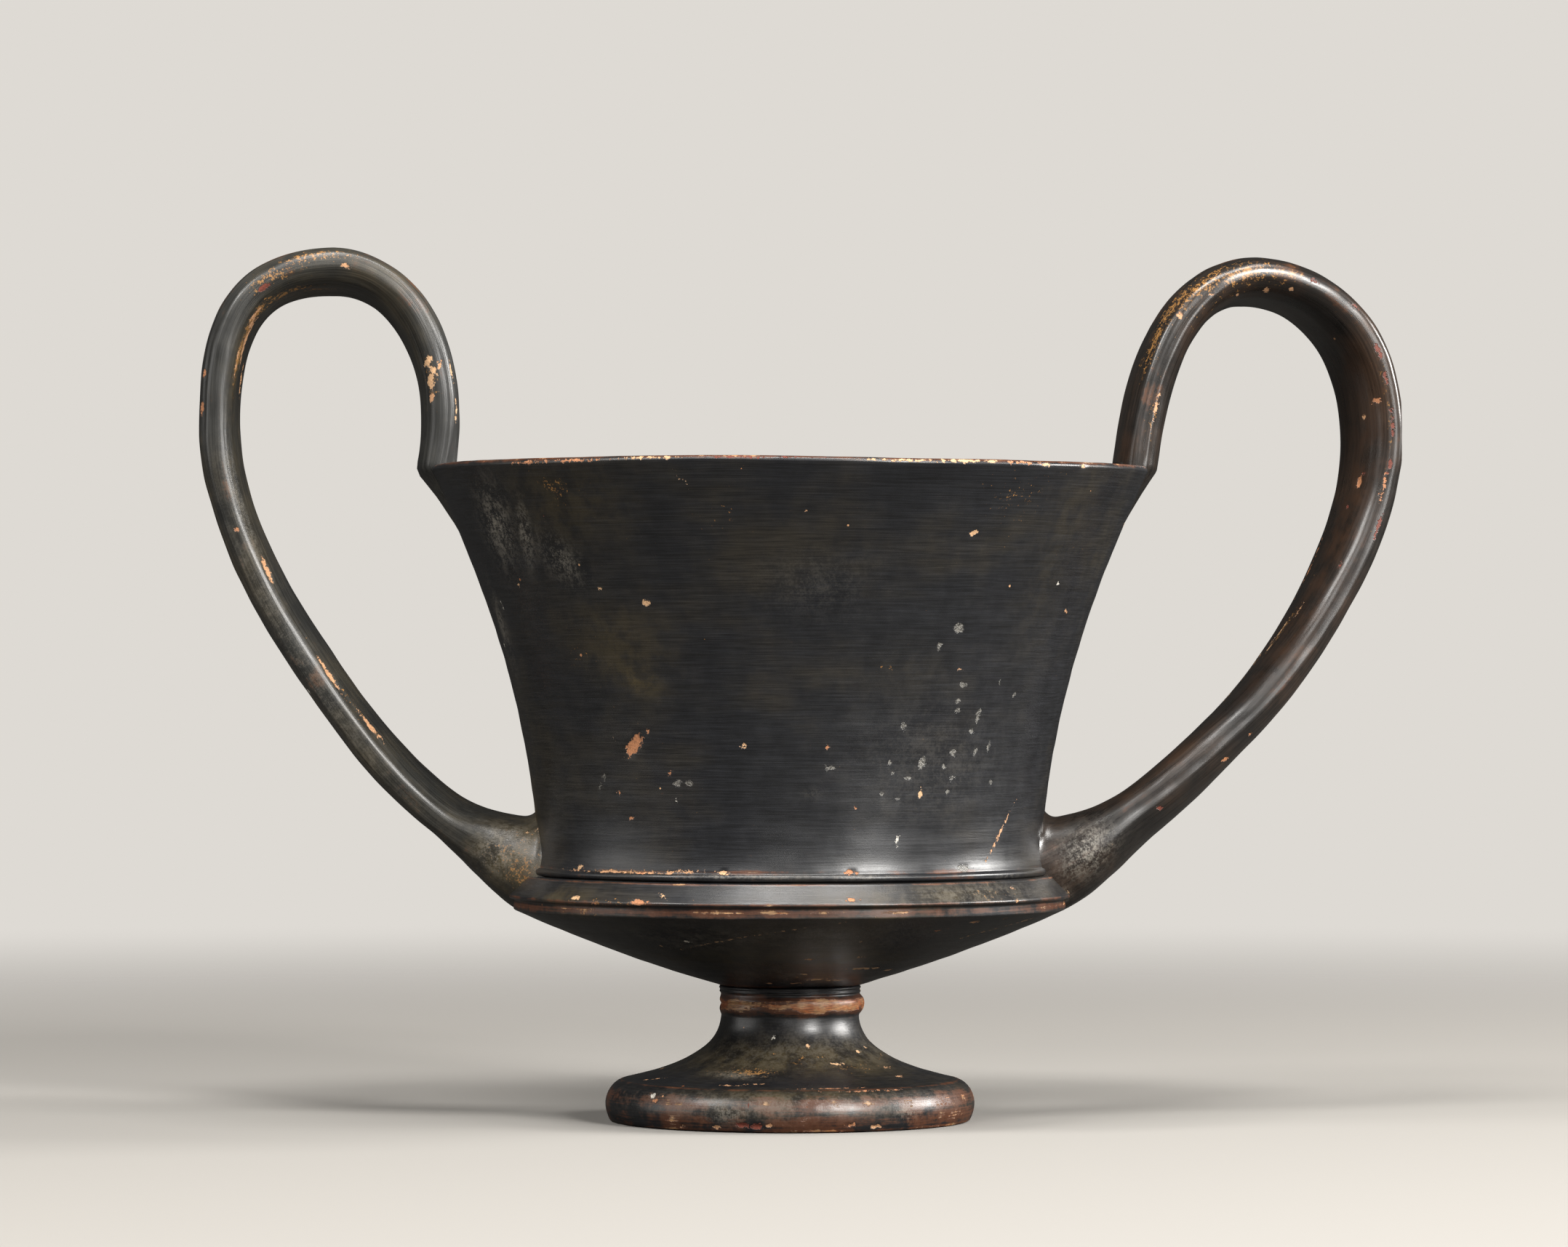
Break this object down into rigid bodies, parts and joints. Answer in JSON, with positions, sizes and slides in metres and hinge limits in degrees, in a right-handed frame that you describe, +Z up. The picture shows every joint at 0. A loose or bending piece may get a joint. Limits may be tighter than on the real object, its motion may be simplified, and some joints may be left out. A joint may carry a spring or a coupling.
{
  "type": "black-glaze kantharos",
  "caption": "Black-glazed drinking cup with a flaring bowl over a sharp edge, a ringed stem, a spreading foot and high-swung strap handles.",
  "frame": {"origin": "on the table under the middle of the overall width and depth", "axes": "+X through both handles to the cup's right handle, +Z up, -Y towards the viewer"},
  "size_m": [0.3044, 0.1814, 0.2202],
  "materials": {
    "black_gloss": "satin black slip, fired, worn brown on the edges"
  },
  "bodies": {
    "root": {"kantharos": "black_gloss"}
  },
  "joints": []
}
